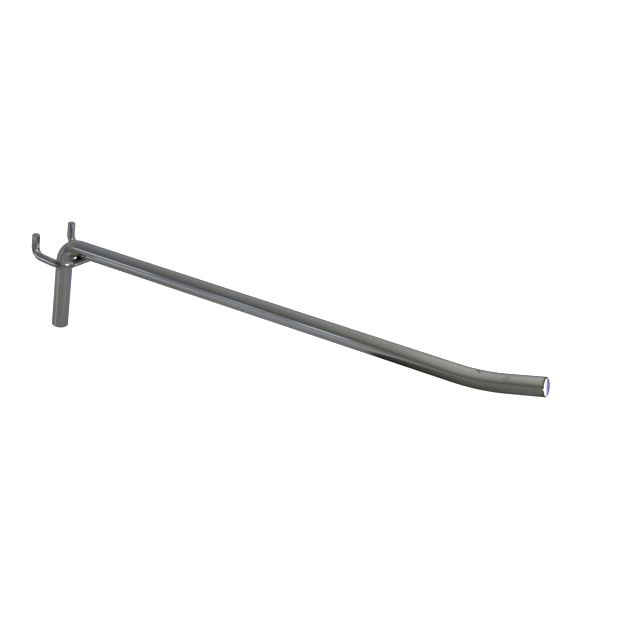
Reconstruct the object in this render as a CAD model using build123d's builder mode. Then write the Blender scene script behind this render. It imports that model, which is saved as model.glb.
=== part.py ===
"""Single hook for a perforated panel: a bent bar for the goods, welded to a bent wire with two pegs.

Millimetres, +Z up. The panel's front face is the plane Y = 0 and the panel fills the side Y > 0.
The origin lies midway between the two holes that the pegs go through, at the height of the wire's
side runs. X runs along the panel and the arm reaches out towards -Y.
"""
from build123d import *
from math import cos, radians, sin, tan
import os

# Round stock
bar_diameter = 8.4
wire_diameter = 4.0

# Bar: each length runs along the centreline, from the corner of one bend to the next or to the end
leg_length = 46.0
arm_length = 226.0
tip_length = 28.0
arm_rise = 5.0
tip_rise = 14.2
crook_radius = 10.8
tip_bend_radius = 91.0
bar_end_chamfer = 0.4

# Wire: the pegs stand on the panel's hole spacing, and their height is from the side runs' centreline
peg_spacing = 25.4
peg_height = 11.2
peg_bend_radius = 4.5
wire_corner_radius = 7.6
peg_end_chamfer = 0.5

# Fit on the panel: clear gap between the back of the leg and the front of the pegs
panel_gap = 1.9

# Weld: the wire crosses under the arm just past the crook, pressed a little into the bar
seat_past_crook = 0.2
weld_set_down = 0.08
weld_throat = 0.5

bar_radius = bar_diameter / 2
wire_radius = wire_diameter / 2
rise = radians(arm_rise)
full_rise = radians(arm_rise + tip_rise)

# The crook turns the bar from the upright leg to the arm, and the wire's cross run hangs under the arm
crook_tangent = crook_radius * tan(radians(90 - arm_rise) / 2)
seat_along_arm = crook_tangent + seat_past_crook
seat_below_arm = bar_radius + wire_radius - weld_set_down

# Points of the bar's centreline as (Y, Z), with the leg's back on the panel
leg_y = -bar_radius
corner_z = seat_below_arm * cos(rise) - seat_along_arm * sin(rise)
leg_end = (leg_y, corner_z - leg_length)
arm_corner = (leg_y, corner_z)
tip_corner = (leg_y - arm_length * cos(rise), corner_z + arm_length * sin(rise))
tip_end = (
    tip_corner[0] - tip_length * cos(full_rise),
    tip_corner[1] + tip_length * sin(full_rise),
)

# Places of the wire's centreline
peg_x = peg_spacing / 2
peg_y = panel_gap + wire_radius
cross_y = leg_y - seat_along_arm * cos(rise) - seat_below_arm * sin(rise)

with BuildLine(Plane.YZ) as bar_path:
    FilletPolyline(
        leg_end,
        arm_corner,
        tip_corner,
        tip_end,
        radius=[crook_radius, tip_bend_radius],
    )

with BuildLine() as wire_path:
    FilletPolyline(
        (-peg_x, peg_y, peg_height),
        (-peg_x, peg_y, 0),
        (-peg_x, cross_y, 0),
        (peg_x, cross_y, 0),
        (peg_x, peg_y, 0),
        (peg_x, peg_y, peg_height),
        radius=[peg_bend_radius, wire_corner_radius, wire_corner_radius, peg_bend_radius],
    )

bar_start = Plane(origin=bar_path.line @ 0, z_dir=bar_path.line % 0)
wire_start = Plane(origin=wire_path.line @ 0, z_dir=wire_path.line % 0)

# Bent bar: leg, crook, arm and raised tip
with BuildPart() as arm_rod:
    with BuildSketch(bar_start):
        Circle(bar_radius)
    sweep(path=bar_path.line)
    bar_ends = arm_rod.faces().filter_by(GeomType.PLANE)
    chamfer(bar_ends.edges(), length=bar_end_chamfer)

# Bent wire: peg, side run, cross run under the arm, side run, peg
with BuildPart() as peg_wire:
    with BuildSketch(wire_start):
        Circle(wire_radius)
    sweep(path=wire_path.line)
    peg_ends = peg_wire.faces().filter_by(GeomType.PLANE)
    chamfer(peg_ends.edges(), length=peg_end_chamfer)
    add(arm_rod.part, mode=Mode.SUBTRACT)

# Weld metal: fills the notch round the crossing, as far out as the throat from both bar and wire
with BuildPart() as weld_bead:
    with BuildSketch(bar_start):
        Circle(bar_radius + weld_throat)
    sweep(path=bar_path.line)
    with BuildSketch(wire_start):
        Circle(wire_radius + weld_throat)
    sweep(path=wire_path.line, mode=Mode.INTERSECT)
    add(arm_rod.part, mode=Mode.SUBTRACT)
    add(peg_wire.part, mode=Mode.SUBTRACT)

arm_rod.part.label = "arm_rod"
peg_wire.part.label = "peg_wire"
weld_bead.part.label = "weld_bead"

os.makedirs("parts", exist_ok=True)
export_step(arm_rod.part, "parts/arm_rod.step")
export_step(peg_wire.part, "parts/peg_wire.step")
export_step(weld_bead.part, "parts/weld_bead.step")
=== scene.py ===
"""Looks for the single hook: camera, floor, studio light and chrome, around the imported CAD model.

Metres, in the CAD model's frame. The chrome shows little but what it mirrors, so most of the studio is
a low tent of soft light cards round the hook. Only mirror reflections see the tent.
"""
import math

import bpy
from mathutils import Matrix, Vector

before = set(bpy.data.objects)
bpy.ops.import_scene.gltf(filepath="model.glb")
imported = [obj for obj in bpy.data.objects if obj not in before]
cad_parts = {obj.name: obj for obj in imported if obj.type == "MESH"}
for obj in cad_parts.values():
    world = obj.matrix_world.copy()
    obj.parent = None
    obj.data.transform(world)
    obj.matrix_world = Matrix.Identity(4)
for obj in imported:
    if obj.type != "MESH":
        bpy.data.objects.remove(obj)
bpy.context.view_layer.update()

# Camera: turns in degrees, lens and sensor in millimetres
CAMERA_PLACE = Vector((-0.368417, -0.325085, 0.220578))
CAMERA_YAW = -64.8092
CAMERA_PITCH = 25.9931
CAMERA_ROLL = 11.2897
CAMERA_LENS = 57.499
SENSOR_WIDTH = 36.0
CLIP_START = 0.01
CLIP_END = 100.0

# Floor that the camera sees, well below the hook, and how far it runs each way
FLOOR = -0.45
FLOOR_REACH = 30.0
FLOOR_WAVES = 3.0
FLOOR_ROUGHNESS = 0.9

# World light, and soft lamps by name, place and power
WORLD_LIGHT = 1.15
LAMPS = (("key", (-1.5, -1.5, 3.0), 60.0), ("fill", (2.0, 0.5, 3.0), 40.0))
LAMP_SIZE = 3.0

# Light tent
TENT_FLOOR = -0.06
TENT_TOP = 0.15
TENT_LEFT = -0.5
TENT_RIGHT = 0.9
TENT_FRONT = -0.9
TENT_BACK = 0.9

# Planes of the small flags that stand inside the tent
LEG_FLAG_X = -0.03
WIRE_FLAG_X = -0.022
STREAK_X = -0.0165
PEG_FLAG_Y = -0.03

# Share of light that the plating mirrors. Card colours are kept as parts of the cards' strength, and the
# large factors as parts of the largest.
CHROME = 0.6
CARD_STRENGTH = 4.0
LARGEST_FACTOR = 4.0

# Tints of the card light
COOL = (0.975, 0.995, 1.055)
VIOLET = (1.0, 0.99, 1.02)
OLIVE = (0.99, 1.0, 0.95)
PALE = (0.995, 1.0, 0.975)
MOSS = (0.97, 1.0, 0.92)
MAUVE = (1.035, 0.975, 0.985)
PLUM = (1.02, 0.95, 1.2)

# Lines over the table card, as shares of X and Y and an offset: the warm strip along its front, and the
# split in the patch that the bar's end face mirrors
WARM_LINE = (0.414, 1.0, 0.1656)
END_LINE = (0.40, 0.915, 0.0386)

# Slope of the table's edge against X, how much it turns right of the arm, and the Y over which it fades
EDGE_SLOPE = 0.133
EDGE_TURN = -0.3
EDGE_FADE = (-0.162, -0.155)

# What the top card's light is raised by, all over
TOP_GAIN = 1.0 / 0.88

# Round patches on the cards: centre, radius of the core, radius of the rim. The lamp's is round where Y is
# squeezed to this share, so the lamp itself is long.
END_PATCH = ((0.334, -0.41), 0.12, 0.2)
LAMP_PATCH = ((-0.104, -0.1), 0.028, 0.046)
LAMP_SQUEEZE = 0.3

# Middle of the weld, then the middle of the bar's cut front end and the way it faces
WELD =(0.0, -0.0145, 0.0015)
TIP_END = (0.0, -0.2557825, 0.0341222)
TIP_DIRECTION = (0.0, -0.9444, 0.3289)

# Outer sides of the wire's two front bends, where a dark reflection is painted into the plating
CORNERS = ((-0.0137, -0.0118, 0.0006), (0.0137, -0.0118, 0.0006))
CORNER_CORE = 0.0006
CORNER_RIM = 0.003
CORNER_DARK_REFLECTION = (0.17, 0.185, 0.18)

# Marks on the bar, darkened as painted shade: from, to, width, and the share of light left in the mark
CREASES = (
    ((0.0004, -0.2263, 0.0293), (-0.0013, -0.2277, 0.0294), 0.0009, 0.5),
    ((-0.0031, -0.2377, 0.0309), (-0.0016, -0.2400, 0.0328), 0.0009, 0.86),
    ((-0.0035, -0.0066, -0.0334), (-0.0034, -0.0067, -0.0331), 0.0009, 0.8),
)
CREASE_CORE = 0.3
CREASE_DEPTH = 0.04

# Cut end: where it starts, from the end's plane, its height as a factor of the radius squared, and the tones
# of a dark yellowish line painted round the chamfer as a reflection: its rim, and the darker cut inside the
# rim
END_FACE = -0.00005
END_CROWN = -6.2
RIM_DARK_REFLECTION = (0.46, 0.44, 0.27)
CUT_DARK_REFLECTION = (0.24, 0.23, 0.13)

# Waves a metre of the hazy handling marks and of the drawing lines, and the lines' height
HAZE_WAVES = (120.0, 40.0, 120.0)
FLAT_GRAIN_WAVES = (4000.0, 60.0, 4000.0)
UPRIGHT_GRAIN_WAVES = (4000.0, 4000.0, 60.0)
GRAIN_HEIGHT = 0.0000004

# Drawing lines stand upright where Z falls through this on the leg, and above this Y and Z on the pegs
LEG_GRAIN = (-0.002, -0.008)
PEG_GRAIN = (0.002, 0.004)

# Roughness of the plate and of the plated weld, and what haze and burn add to it
PLATE_ROUGHNESS = 0.015
WELD_ROUGHNESS = 0.2
HAZE_ROUGHNESS = 0.06
BURN_ROUGHNESS = 0.16

# Tint of the plate's glancing reflections
GLANCE_TINT = (0.8, 0.8, 0.8)


def make_camera():
    """Camera at the photograph's viewing angle."""
    yaw, pitch, roll = (math.radians(a) for a in (CAMERA_YAW, CAMERA_PITCH, CAMERA_ROLL))
    back = Vector((math.sin(yaw) * math.cos(pitch), -math.cos(yaw) * math.cos(pitch), math.sin(pitch)))
    level = Vector((math.cos(yaw), math.sin(yaw), 0.0))
    upright = back.cross(level)
    right = math.cos(roll) * level + math.sin(roll) * upright
    up = back.cross(right)
    data = bpy.data.cameras.new("camera")
    data.sensor_width = SENSOR_WIDTH
    data.lens = CAMERA_LENS
    data.clip_start = CLIP_START
    data.clip_end = CLIP_END
    camera = bpy.data.objects.new("camera", data)
    bpy.context.scene.collection.objects.link(camera)
    turn = Matrix((right, up, back)).transposed()
    camera.matrix_world = Matrix.Translation(CAMERA_PLACE) @ turn.to_4x4()
    bpy.context.scene.camera = camera


def rgb(*light):
    """Colour with full alpha."""
    return light + (1.0,)


def linear(level):
    """Light of a display level from 0 to 255."""
    v = level / 255.0
    return v / 12.92 if v <= 0.04045 else ((v + 0.055) / 1.055) ** 2.4


def glow(level, tint=(1.0, 1.0, 1.0)):
    """Card colour that the chrome shows at a display level."""
    return rgb(*(linear(level * t) / CHROME / CARD_STRENGTH for t in tint))


def lit(*stops):
    """Ramp stops of card light from (value, display level) or (value, display level, tint)."""
    return [(at, glow(*light)) for at, *light in stops]


def share(*pairs, largest=1.0):
    """Ramp stops of a plain factor from (value, factor) pairs, as parts of the largest."""
    return [(at, rgb(f / largest, f / largest, f / largest)) for at, f in pairs]


class Nodes:
    """Short names for building a node tree."""

    def __init__(self, name):
        self.material = bpy.data.materials.new(name)
        self.material.use_nodes = True
        self.tree = self.material.node_tree
        self.tree.nodes.clear()

    def add(self, kind, **inputs):
        """New node. Inputs go by name, or by number as i0, i1 and so on."""
        node = self.tree.nodes.new("ShaderNode" + kind)
        for key, value in inputs.items():
            self.put(node, key, value)
        return node

    def put(self, node, key, value):
        """Link or set one input of a node."""
        socket = node.inputs[int(key[1:])] if key[0] == "i" and key[1:].isdigit() else node.inputs[key]
        if isinstance(value, bpy.types.NodeSocket):
            self.tree.links.new(value, socket)
        else:
            socket.default_value = value

    def place(self):
        """Object-space coordinates, then X, Y and Z by themselves."""
        coords = self.add("TexCoord").outputs["Object"]
        split = self.add("SeparateXYZ", i0=coords)
        return coords, split.outputs[0], split.outputs[1], split.outputs[2]

    def math(self, operation, a, b=0.0, c=0.0):
        node = self.add("Math", i0=a, i1=b, i2=c)
        node.operation = operation
        return node.outputs[0]

    def vector(self, operation, a, b, output="Vector"):
        node = self.add("VectorMath", i0=a, i1=b)
        node.operation = operation
        return node.outputs[output]

    def away(self, a, b):
        """Distance between two points."""
        return self.vector("DISTANCE", a, b, "Value")

    def dot(self, a, b):
        return self.vector("DOT_PRODUCT", a, b, "Value")

    def scale(self, colour, factor):
        node = self.add("VectorMath", i0=colour)
        node.operation = "SCALE"
        self.put(node, "Scale", factor)
        return node.outputs[0]

    def across(self, x, y, line):
        """Share of X plus share of Y plus offset, which is 0 along the line."""
        return self.math("MULTIPLY_ADD", x, line[0], self.math("MULTIPLY_ADD", y, line[1], line[2]))

    def between(self, value, start, end, most=1.0):
        """0 at the start, rising evenly to the most at the end, and level outside them."""
        return self.add("MapRange", i0=value, i1=start, i2=end, i3=0.0, i4=most).outputs[0]

    def ramp(self, value, stops, smooth="EASE"):
        """Colour by value, through stops of (value, colour) in rising order."""
        low, high = stops[0][0], stops[-1][0]
        node = self.add("ValToRGB", i0=self.between(value, low, high))
        node.color_ramp.interpolation = smooth
        bar = node.color_ramp.elements
        bar[0].color, bar[-1].color = stops[0][1], stops[-1][1]
        for at, colour in stops[1:-1]:
            bar.new((at - low) / (high - low)).color = colour
        return node.outputs[0]

    def mix(self, factor, a, b, blend="MIX"):
        node = self.tree.nodes.new("ShaderNodeMix")
        node.data_type = "RGBA"
        node.blend_type = blend
        self.put(node, "i0", factor)
        self.put(node, "i6", a)
        self.put(node, "i7", b)
        return node.outputs[2]

    def times(self, a, b):
        return self.mix(1.0, a, b, "MULTIPLY")

    def noise(self, coords, waves, detail):
        """Noise with its own waves a metre along each axis."""
        stretched = self.vector("MULTIPLY", coords, waves)
        return self.add("TexNoise", Vector=stretched, Scale=1.0, Detail=detail).outputs[0]

    def spot(self, paint, patch, colour, x, y):
        """A round patch of colour over the paint, soft from its core to its rim."""
        centre, core, rim = patch
        along = self.math("POWER", self.math("SUBTRACT", x, centre[0]), 2.0)
        aside = self.math("POWER", self.math("SUBTRACT", y, centre[1]), 2.0)
        distance = self.math("SQRT", self.math("ADD", along, aside))
        return self.mix(self.ramp(distance, share((core, 1.0), (rim, 0.0))), paint, colour)

    def finish(self, shader):
        output = self.add("OutputMaterial")
        self.tree.links.new(shader, output.inputs[0])
        return self.material


def add_stage(name, corners, material):
    """Four-cornered piece of the stage."""
    mesh = bpy.data.meshes.new(name)
    mesh.from_pydata([Vector(c) for c in corners], [], [(0, 1, 2, 3)])
    mesh.materials.append(material)
    obj = bpy.data.objects.new(name, mesh)
    bpy.context.scene.collection.objects.link(obj)
    return obj


def card(name, corners, paint, one_sided=False):
    """Stage card that only mirror reflections see. paint takes its nodes and gives the light's colour."""
    nodes = Nodes(name)
    shader = nodes.add("Emission", Color=paint(nodes), Strength=CARD_STRENGTH).outputs[0]
    if one_sided:
        behind = nodes.add("NewGeometry").outputs["Backfacing"]
        clear = nodes.add("BsdfTransparent").outputs[0]
        shader = nodes.add("MixShader", i0=behind, i1=shader, i2=clear).outputs[0]
    material = nodes.finish(shader)
    material.cycles.emission_sampling = "NONE"
    obj = add_stage(name, corners, material)
    obj.visible_camera = False
    obj.visible_diffuse = False
    obj.visible_shadow = False
    obj.visible_transmission = False
    obj.visible_volume_scatter = False


def table_top(nodes, x, y):
    """Pale table, shaded under the arm, with a warm front strip, violet cloth and a bright rail."""
    table = nodes.ramp(x, lit(
        (-0.5, 112, COOL), (-0.3, 121, COOL), (-0.21, 130, COOL), (-0.15, 139, COOL), (-0.12, 136, COOL),
        (-0.08, 124), (-0.035, 116), (0.0, 111), (0.05, 109), (0.15, 120, VIOLET), (0.28, 112), (0.42, 70),
        (0.9, 60)))
    shade = nodes.ramp(y, share(
        (-0.13, 1.0), (-0.095, 1.05), (-0.07, 0.98), (-0.05, 0.85), (-0.01, 0.8), (0.03, 0.82), (0.09, 1.0)))
    reach = nodes.ramp(x, share((-0.1, 0.0), (-0.04, 1.0), (0.02, 1.0), (0.05, 0.3), (0.12, 0.0)))
    table = nodes.mix(reach, table, nodes.times(table, shade))
    depth = nodes.ramp(y, share((-0.138, 0.92), (-0.105, 1.0), (0.06, 1.0), (0.12, 0.84), (0.5, 0.84)))
    table = nodes.times(table, depth)
    warm = nodes.across(x, y, WARM_LINE)
    table = nodes.times(table, nodes.ramp(warm, [(-0.015, rgb(1.0, 1.0, 0.85)), (0.012, rgb(1.0, 1.0, 1.0))]))
    cloth = nodes.ramp(x, share((0.03, 0.0), (0.06, 1.0), (0.14, 1.0), (0.2, 0.0)))
    table = nodes.mix(cloth, table, nodes.times(table, rgb(1.03, 0.94, 1.28)))
    rail = nodes.ramp(x, share((-0.17, 0.0), (-0.135, 1.0), (-0.105, 1.0), (-0.08, 0.0)))
    stretch = nodes.ramp(y, share((0.01, 0.0), (0.03, 1.0), (0.065, 1.0), (0.085, 0.0)))
    return nodes.mix(nodes.times(rail, stretch), table, glow(158, COOL))


def beyond_table(nodes, x, y):
    """The dark beyond the table's edge, paler far in front and to the left."""
    beyond = nodes.ramp(y, lit(
        (-0.6, 110, OLIVE), (-0.27, 99, MAUVE), (-0.245, 95, MAUVE), (-0.23, 85, OLIVE), (-0.21, 78, MOSS),
        (-0.19, 69, MOSS), (-0.175, 57, MOSS), (-0.165, 52, MOSS), (-0.15, 50, MOSS)))
    near = nodes.ramp(x, share(
        (-0.4, 3.8), (-0.26, 3.4), (-0.16, 2.5), (-0.12, 1.9), (-0.09, 1.35), (-0.06, 1.0), (-0.035, 0.9),
        (-0.012, 0.6), (0.004, 0.2), (0.03, 0.03), (0.1, 0.1), largest=LARGEST_FACTOR))
    far = nodes.ramp(x, share(
        (-0.26, 1.5), (-0.16, 1.3), (-0.1, 1.1), (-0.06, 1.0), (-0.03, 0.85), (0.0, 0.66), (0.03, 0.55),
        (0.1, 0.7), largest=LARGEST_FACTOR))
    factor = nodes.mix(nodes.between(y, -0.165, -0.225), near, far)
    return nodes.times(beyond, nodes.scale(factor, LARGEST_FACTOR))


def paint_table(nodes):
    """Pale table behind an edge that runs under the arm, the dark beyond it, and the end face's patch."""
    _, x, y, _ = nodes.place()
    edge = nodes.math("MULTIPLY_ADD", x, EDGE_SLOPE, y)
    edge = nodes.math("MULTIPLY_ADD", nodes.math("MAXIMUM", x, 0.0), EDGE_TURN, edge)
    paint = nodes.mix(nodes.between(edge, *EDGE_FADE), beyond_table(nodes, x, y), table_top(nodes, x, y))
    end = nodes.ramp(nodes.across(x, y, END_LINE), [
        (-0.26, rgb(0.6, 0.6, 0.6)), (-0.217, rgb(0.6, 0.6, 0.6)), (-0.21, glow(255, (0.86, 0.82, 1.0))),
        (-0.201, glow(255, (0.59, 0.54, 0.8))), (-0.19, glow(255, (0.51, 0.47, 0.69))),
        (-0.1, glow(255, (0.51, 0.47, 0.69)))])
    return nodes.spot(paint, END_PATCH, end, x, y)


def paint_top(nodes):
    """Soft overhead light, brighter towards the front and the right, with a small lamp in it."""
    _, x, y, _ = nodes.place()
    along = nodes.ramp(y, lit(
        (-0.4, 153, PALE), (-0.165, 151, PALE), (-0.15, 146, PALE), (-0.13, 130, PALE), (-0.11, 131, PALE),
        (-0.01, 122), (0.06, 116), (0.1, 117, COOL), (0.14, 116, COOL), (0.25, 113), (0.6, 122)))
    rear = nodes.ramp(x, share(
        (-0.5, 0.42), (-0.22, 0.38), (-0.12, 0.50), (-0.04, 0.63), (0.06, 0.85), (0.11, 0.96), (0.2, 0.98),
        (0.27, 0.98), (0.6, 0.95)))
    front = nodes.ramp(x, [
        (-0.5, rgb(0.5, 0.5, 0.45)), (-0.2, rgb(0.64, 0.64, 0.58)), (-0.1, rgb(0.71, 0.71, 0.65)),
        (-0.04, rgb(0.77, 0.77, 0.73)), (0.0, rgb(0.87, 0.87, 0.85)), (0.06, rgb(0.96, 0.96, 0.96)),
        (0.11, rgb(1.0, 1.0, 1.0)), (0.6, rgb(1.0, 1.0, 1.0))])
    sides = nodes.mix(nodes.between(y, -0.08, -0.13), rear, front)
    sides = nodes.mix(nodes.between(y, 0.12, 0.5, most=0.8), sides, rgb(0.9, 0.9, 0.9))
    paint = nodes.scale(nodes.times(along, sides), TOP_GAIN)
    far_right = nodes.ramp(x, share((-0.02, 0.0), (0.04, 1.0)))
    dark = nodes.times(nodes.between(y, -0.19, -0.23), far_right)
    paint = nodes.mix(dark, paint, glow(84))
    squeezed = nodes.math("MULTIPLY", y, LAMP_SQUEEZE)
    return nodes.spot(paint, LAMP_PATCH, rgb(1.0, 1.0, 1.06), x, squeezed)


def paint_left(nodes):
    """Left wall with a strip of windows at table height, which climbs towards the back."""
    _, _, y, z = nodes.place()
    wall = nodes.ramp(z, lit((-0.06, 120), (0.0, 116), (0.03, 112), (0.05, 102), (0.12, 100), (0.15, 96)))
    tint = nodes.ramp(y, [(-0.1, rgb(0.66, 0.70, 0.55)), (0.03, rgb(0.80, 0.82, 0.72)),
                          (0.1, rgb(0.95, 1.0, 1.08)), (0.5, rgb(0.95, 1.0, 1.08))])
    windows = nodes.ramp(y, lit(
        (0.0, 96), (0.03, 130), (0.06, 202, COOL), (0.088, 202, COOL), (0.115, 135, COOL), (0.14, 138, COOL),
        (0.165, 164, COOL), (0.195, 160, COOL), (0.22, 118, COOL), (0.25, 106, COOL), (0.28, 110, COOL),
        (0.305, 186, COOL), (0.34, 196, COOL), (0.42, 204, COOL), (0.46, 150, COOL), (0.52, 118, COOL)))
    climb = share((0.06, 0.03), (0.1, 0.04), (0.175, 0.068), (0.3, 0.074), (0.4, 0.086))
    height = nodes.math("SUBTRACT", z, nodes.ramp(y, climb, "LINEAR"))
    strip = nodes.ramp(height, share((-0.06, 0.0), (-0.02, 1.0), (0.022, 1.0), (0.06, 0.0)))
    wall = nodes.mix(strip, nodes.times(wall, tint), windows)
    return nodes.mix(nodes.ramp(y, share((-0.2, 1.0), (-0.15, 0.0))), wall, glow(48, OLIVE))


def paint_right(nodes):
    """Dark right wall, which draws the thin dark line along the bar's far edge."""
    _, _, _, z = nodes.place()
    return nodes.ramp(z, lit((-0.06, 34), (0.08, 46), (0.15, 84)))


def paint_front(nodes):
    """Front wall with a window from the arm's level up, which lights the wire's bends."""
    _, x, _, z = nodes.place()
    wall = nodes.ramp(x, lit((-0.5, 60), (-0.4, 80), (0.0, 102), (0.9, 100)))
    window = nodes.ramp(x, share((-0.46, 0.0), (-0.42, 1.0), (-0.2, 1.0), (-0.15, 0.0)))
    window = nodes.times(window, nodes.ramp(z, share((-0.01, 0.0), (0.015, 1.0))))
    return nodes.mix(window, wall, rgb(0.85, 0.85, 0.9))


def paint_back(nodes):
    """Even grey back wall."""
    _, _, _, z = nodes.place()
    return nodes.ramp(z, lit((TENT_FLOOR, 108), (TENT_TOP, 102)))


def paint_leg_flag(nodes):
    """Even grey in front, a narrow bright slit, and pale behind, darker towards the leg's lower end."""
    _, _, y, z = nodes.place()
    across = nodes.ramp(y, lit(
        (-0.05, 109), (-0.026, 107), (-0.002, 107), (0.003, 112, OLIVE), (0.0065, 150, COOL),
        (0.0105, 150, COOL), (0.014, 122, OLIVE), (0.022, 116)))
    down = nodes.ramp(z, [(-0.05, rgb(0.90, 0.90, 0.85)), (-0.034, rgb(0.93, 0.93, 0.88)),
                          (-0.026, rgb(1.0, 1.0, 0.98)), (-0.018, rgb(1.0, 1.0, 1.0))])
    return nodes.times(across, down)


def paint_wire_flag(nodes):
    """Dull grey beside the wire, darker low in front, which keeps the bright table off wire and crook."""
    _, _, y, z = nodes.place()
    side = nodes.ramp(z, lit(
        (-0.018, 98, VIOLET), (-0.006, 102, VIOLET), (-0.002, 104, VIOLET), (0.0005, 90, VIOLET),
        (0.0025, 90, VIOLET), (0.0042, 112, OLIVE), (0.0058, 114, OLIVE)))
    low = nodes.ramp(z, share((-0.003, 1.0), (-0.0005, 0.0)))
    forward = nodes.ramp(y, share((-0.0085, 0.0), (-0.006, 1.0), (-0.003, 1.0), (0.0, 0.0)))
    return nodes.mix(nodes.times(low, forward), side, glow(56, OLIVE))


def paint_streak(nodes):
    """Thin bright strip close to the wire's side, for the fine line of light along it."""
    _, _, y, _ = nodes.place()
    return nodes.ramp(y, lit(
        (-0.009, 205, COOL), (-0.004, 215, COOL), (-0.002, 240, COOL), (0.005, 240, COOL)))


def paint_peg_flag(nodes):
    """Pale violet card in front of the far peg, for the bright stripe down it."""
    _, _, _, z = nodes.place()
    return nodes.ramp(z, lit((-0.02, 186, (1.0, 0.98, 1.08)), (0.0, 192, (1.0, 0.98, 1.1))))


def paint_peg_shade(nodes):
    """Dark violet card in front of both pegs, for the dark stripe down each."""
    _, x, _, _ = nodes.place()
    return nodes.ramp(x, lit((-0.034, 60, PLUM), (-0.027, 60, PLUM), (-0.02, 82, PLUM), (-0.008, 82, PLUM),
                             (-0.004, 66, PLUM), (0.001, 66, PLUM)))


def across_x(x, ys, zs):
    """Corners of a rectangle in a plane of constant X."""
    return [(x, ys[0], zs[0]), (x, ys[1], zs[0]), (x, ys[1], zs[1]), (x, ys[0], zs[1])]


def across_y(y, xs, zs):
    """Corners of a rectangle in a plane of constant Y. With falling X its front side faces the panel."""
    return [(xs[0], y, zs[0]), (xs[1], y, zs[0]), (xs[1], y, zs[1]), (xs[0], y, zs[1])]


def across_z(z, xs, ys):
    """Corners of a level rectangle."""
    return [(xs[0], ys[0], z), (xs[1], ys[0], z), (xs[1], ys[1], z), (xs[0], ys[1], z)]


def make_tent():
    """Closed low box of light cards, and the small flags inside it."""
    xs = (TENT_LEFT, TENT_RIGHT)
    ys = (TENT_FRONT, TENT_BACK)
    zs = (TENT_FLOOR, TENT_TOP)
    card("card_floor", across_z(TENT_FLOOR, xs, ys), paint_table)
    card("card_top", across_z(TENT_TOP, xs, ys), paint_top)
    card("card_left", across_x(TENT_LEFT, ys, zs), paint_left)
    card("card_right", across_x(TENT_RIGHT, ys, zs), paint_right)
    card("card_back", across_y(TENT_BACK, xs, zs), paint_back)
    card("card_front", across_y(TENT_FRONT, xs, zs), paint_front)
    card("flag_leg", across_x(LEG_FLAG_X, (-0.05, 0.022), (-0.059, -0.018)), paint_leg_flag)
    card("flag_wire", across_x(WIRE_FLAG_X, (-0.012, 0.016), (-0.006, 0.0058)), paint_wire_flag)
    card("flag_crook", across_x(WIRE_FLAG_X, (-0.001, 0.016), (-0.0175, -0.006)), paint_wire_flag)
    card("flag_notch", across_x(WIRE_FLAG_X, (-0.0075, -0.001), (-0.0095, -0.006)), paint_wire_flag)
    streak = [(STREAK_X, -0.0125, -0.0005), (STREAK_X, 0.0045, 0.0002), (STREAK_X, 0.0045, 0.00085),
              (STREAK_X, -0.0125, 0.0005)]
    card("flag_streak", streak, paint_streak)
    card("flag_peg", across_y(PEG_FLAG_Y, (0.021, 0.002), (-0.016, -0.001)), paint_peg_flag, one_sided=True)
    card("flag_shade", across_y(PEG_FLAG_Y, (0.001, -0.034), (-0.0165, -0.009)), paint_peg_shade,
         one_sided=True)


def make_floor():
    """Plain pale floor, far below the hook, which fills the camera's view."""
    nodes = Nodes("floor_white")
    coords, _, _, _ = nodes.place()
    noise = nodes.add("TexNoise", Vector=coords, Scale=FLOOR_WAVES).outputs[0]
    colour = nodes.ramp(noise, [(0.0, rgb(0.90, 0.90, 0.90)), (1.0, rgb(0.93, 0.93, 0.93))])
    shader = nodes.add("BsdfPrincipled")
    nodes.put(shader, "Base Color", colour)
    nodes.put(shader, "Roughness", FLOOR_ROUGHNESS)
    reach = (-FLOOR_REACH, FLOOR_REACH)
    add_stage("floor", across_z(FLOOR, reach, reach), nodes.finish(shader.outputs[0]))


def make_light():
    """Even pale world light, and two large soft lamps over the floor."""
    world = bpy.data.worlds.new("studio")
    world.use_nodes = True
    back = world.node_tree.nodes["Background"]
    back.inputs[0].default_value = rgb(1.0, 1.0, 1.0)
    back.inputs[1].default_value = WORLD_LIGHT
    bpy.context.scene.world = world
    for name, place, power in LAMPS:
        data = bpy.data.lights.new(name, "AREA")
        data.size = LAMP_SIZE
        data.energy = power
        lamp = bpy.data.objects.new(name, data)
        lamp.location = place
        lamp.rotation_euler = Vector(place).to_track_quat("Z", "Y").to_euler()
        lamp.visible_glossy = False
        lamp.visible_camera = False
        bpy.context.scene.collection.objects.link(lamp)
    bpy.context.scene.view_settings.view_transform = "Standard"


def near_line(nodes, coords, start, end):
    """Distance from the straight mark between two points."""
    start, run = Vector(start), Vector(end) - Vector(start)
    offset = nodes.vector("SUBTRACT", coords, start)
    portion = nodes.add("Math", i0=nodes.dot(offset, run), i1=run.length_squared)
    portion.operation = "DIVIDE"
    portion.use_clamp = True
    return nodes.away(offset, nodes.scale(run, portion.outputs[0]))


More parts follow.
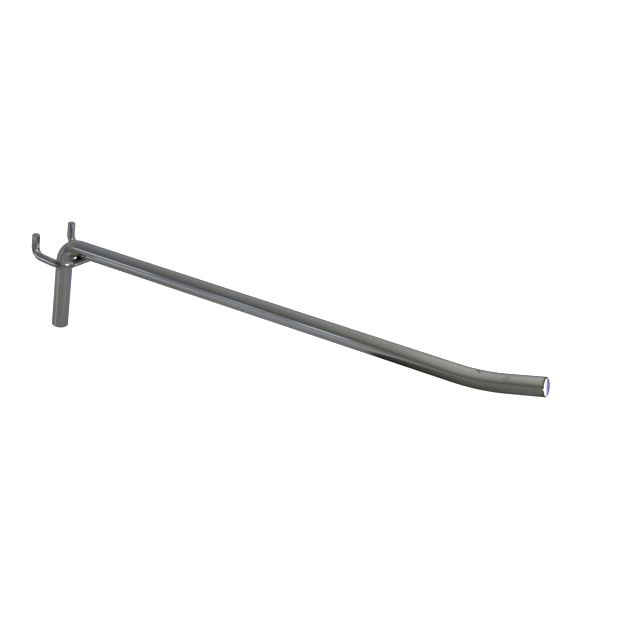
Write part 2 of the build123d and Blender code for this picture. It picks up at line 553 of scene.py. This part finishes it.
def bar_marks(nodes, coords, tone, height):
    """Bending creases and a pit on the leg, darkened as painted shade, and the slightly crowned cut end with
    a dull yellow line painted round its chamfer as a dark reflection.
    """
    for start, end, width, dark in CREASES:
        distance = near_line(nodes, coords, start, end)
        # Painted shade in each crease, besides its dent in the bump
        mark = nodes.ramp(distance, share((width * CREASE_CORE, 1.0), (width, 0.0)))
        tone = nodes.mix(mark, tone, nodes.scale(tone, dark))
        height = nodes.math("MULTIPLY_ADD", mark, -width * CREASE_DEPTH, height)
    offset = nodes.vector("SUBTRACT", coords, TIP_END)
    beyond = nodes.dot(offset, TIP_DIRECTION)
    # Dark yellowish line painted round the chamfer as a reflection, darker just inside it
    rim = nodes.ramp(beyond, share((-0.0014, 0.0), (-0.0009, 0.75), (-0.00012, 0.75), (-0.00006, 0.0)))
    tone = nodes.mix(rim, tone, rgb(*RIM_DARK_REFLECTION))
    cut = nodes.ramp(beyond, share((-0.0007, 0.0), (-0.0003, 1.0), (-0.00012, 1.0), (-0.00006, 0.0)))
    tone = nodes.mix(cut, tone, rgb(*CUT_DARK_REFLECTION))
    crown = nodes.math("MULTIPLY", nodes.math("GREATER_THAN", beyond, END_FACE), END_CROWN)
    return tone, nodes.math("MULTIPLY_ADD", nodes.dot(offset, offset), crown, height)


def wire_dark_reflections(nodes, coords, tone, height):
    """Painted dark reflection on patches outside the wire's front bends."""
    for corner in CORNERS:
        # Dark reflection painted on each front bend
        dark_reflection = nodes.ramp(nodes.away(coords, corner), share((CORNER_CORE, 1.0), (CORNER_RIM, 0.0)))
        tone = nodes.mix(dark_reflection, tone, rgb(*CORNER_DARK_REFLECTION))
    return tone, height


def no_marks(nodes, coords, tone, height):
    return tone, height


def grain_lines(nodes, coords, y, z):
    """Fine drawing lines: along Y on the arm and the wire's sides, upright on the leg and pegs."""
    flat = nodes.noise(coords, FLAT_GRAIN_WAVES, 2.0)
    upright = nodes.noise(coords, UPRIGHT_GRAIN_WAVES, 2.0)
    leg = nodes.between(z, *LEG_GRAIN)
    behind, above = (nodes.math("GREATER_THAN", v, at) for v, at in zip((y, z), PEG_GRAIN))
    peg = nodes.math("MULTIPLY", behind, above)
    return nodes.mix(nodes.math("MAXIMUM", leg, peg), flat, upright)


def chrome(name, burn_and_shade, reach, marks=no_marks, rough_from=PLATE_ROUGHNESS):
    """Bright plate over drawn stock, with hazy handling marks and, at the weld, a burn tint of its own colour
    darkened by painted shade between wire and bar.
    """
    nodes = Nodes(name)
    coords, _, y, z = nodes.place()
    haze = nodes.noise(coords, HAZE_WAVES, 3.0)
    tone = nodes.ramp(haze, [(0.3, rgb(0.575, 0.58, 0.545)), (0.5, rgb(0.60, 0.60, 0.60)),
                             (0.7, rgb(0.615, 0.605, 0.635))])
    # Burn tint near the weld, darkened by painted shade where wire and bar meet
    burn_and_shade_mask = nodes.ramp(nodes.away(coords, WELD), share((reach[0], 1.0), (reach[1], 0.0)))
    tone = nodes.mix(burn_and_shade_mask, tone, burn_and_shade)
    height = nodes.math("MULTIPLY", grain_lines(nodes, coords, y, z), GRAIN_HEIGHT)
    tone, height = marks(nodes, coords, tone, height)
    rough = nodes.math("MULTIPLY_ADD", haze, HAZE_ROUGHNESS, rough_from)
    rough = nodes.math("MULTIPLY_ADD", burn_and_shade_mask, BURN_ROUGHNESS, rough)
    bump = nodes.add("Bump", Strength=1.0, Distance=1.0, Height=height)
    shader = nodes.add("BsdfPrincipled", Metallic=1.0)
    nodes.put(shader, "Specular Tint", rgb(*GLANCE_TINT))
    nodes.put(shader, "Base Color", tone)
    nodes.put(shader, "Roughness", rough)
    nodes.put(shader, "Normal", bump.outputs[0])
    return nodes.finish(shader.outputs[0])


# Finish of each piece: the colour near the weld, a burn tint darkened by painted shade between wire and bar,
# where it starts to fade and where it ends
FINISHES = {
    "arm_rod": {"burn_and_shade": rgb(0.42, 0.39, 0.27), "reach": (0.0042, 0.0078), "marks": bar_marks},
    "peg_wire": {"burn_and_shade": rgb(0.28, 0.25, 0.26), "reach": (0.0035, 0.009), "marks": wire_dark_reflections},
    "weld_bead": {"burn_and_shade": rgb(0.16, 0.14, 0.13), "reach": (0.006, 0.02), "rough_from": WELD_ROUGHNESS},
}

make_camera()
make_tent()
make_floor()
make_light()
for node, finish in FINISHES.items():
    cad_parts[node].data.materials[0] = chrome("chrome_" + node, **finish)
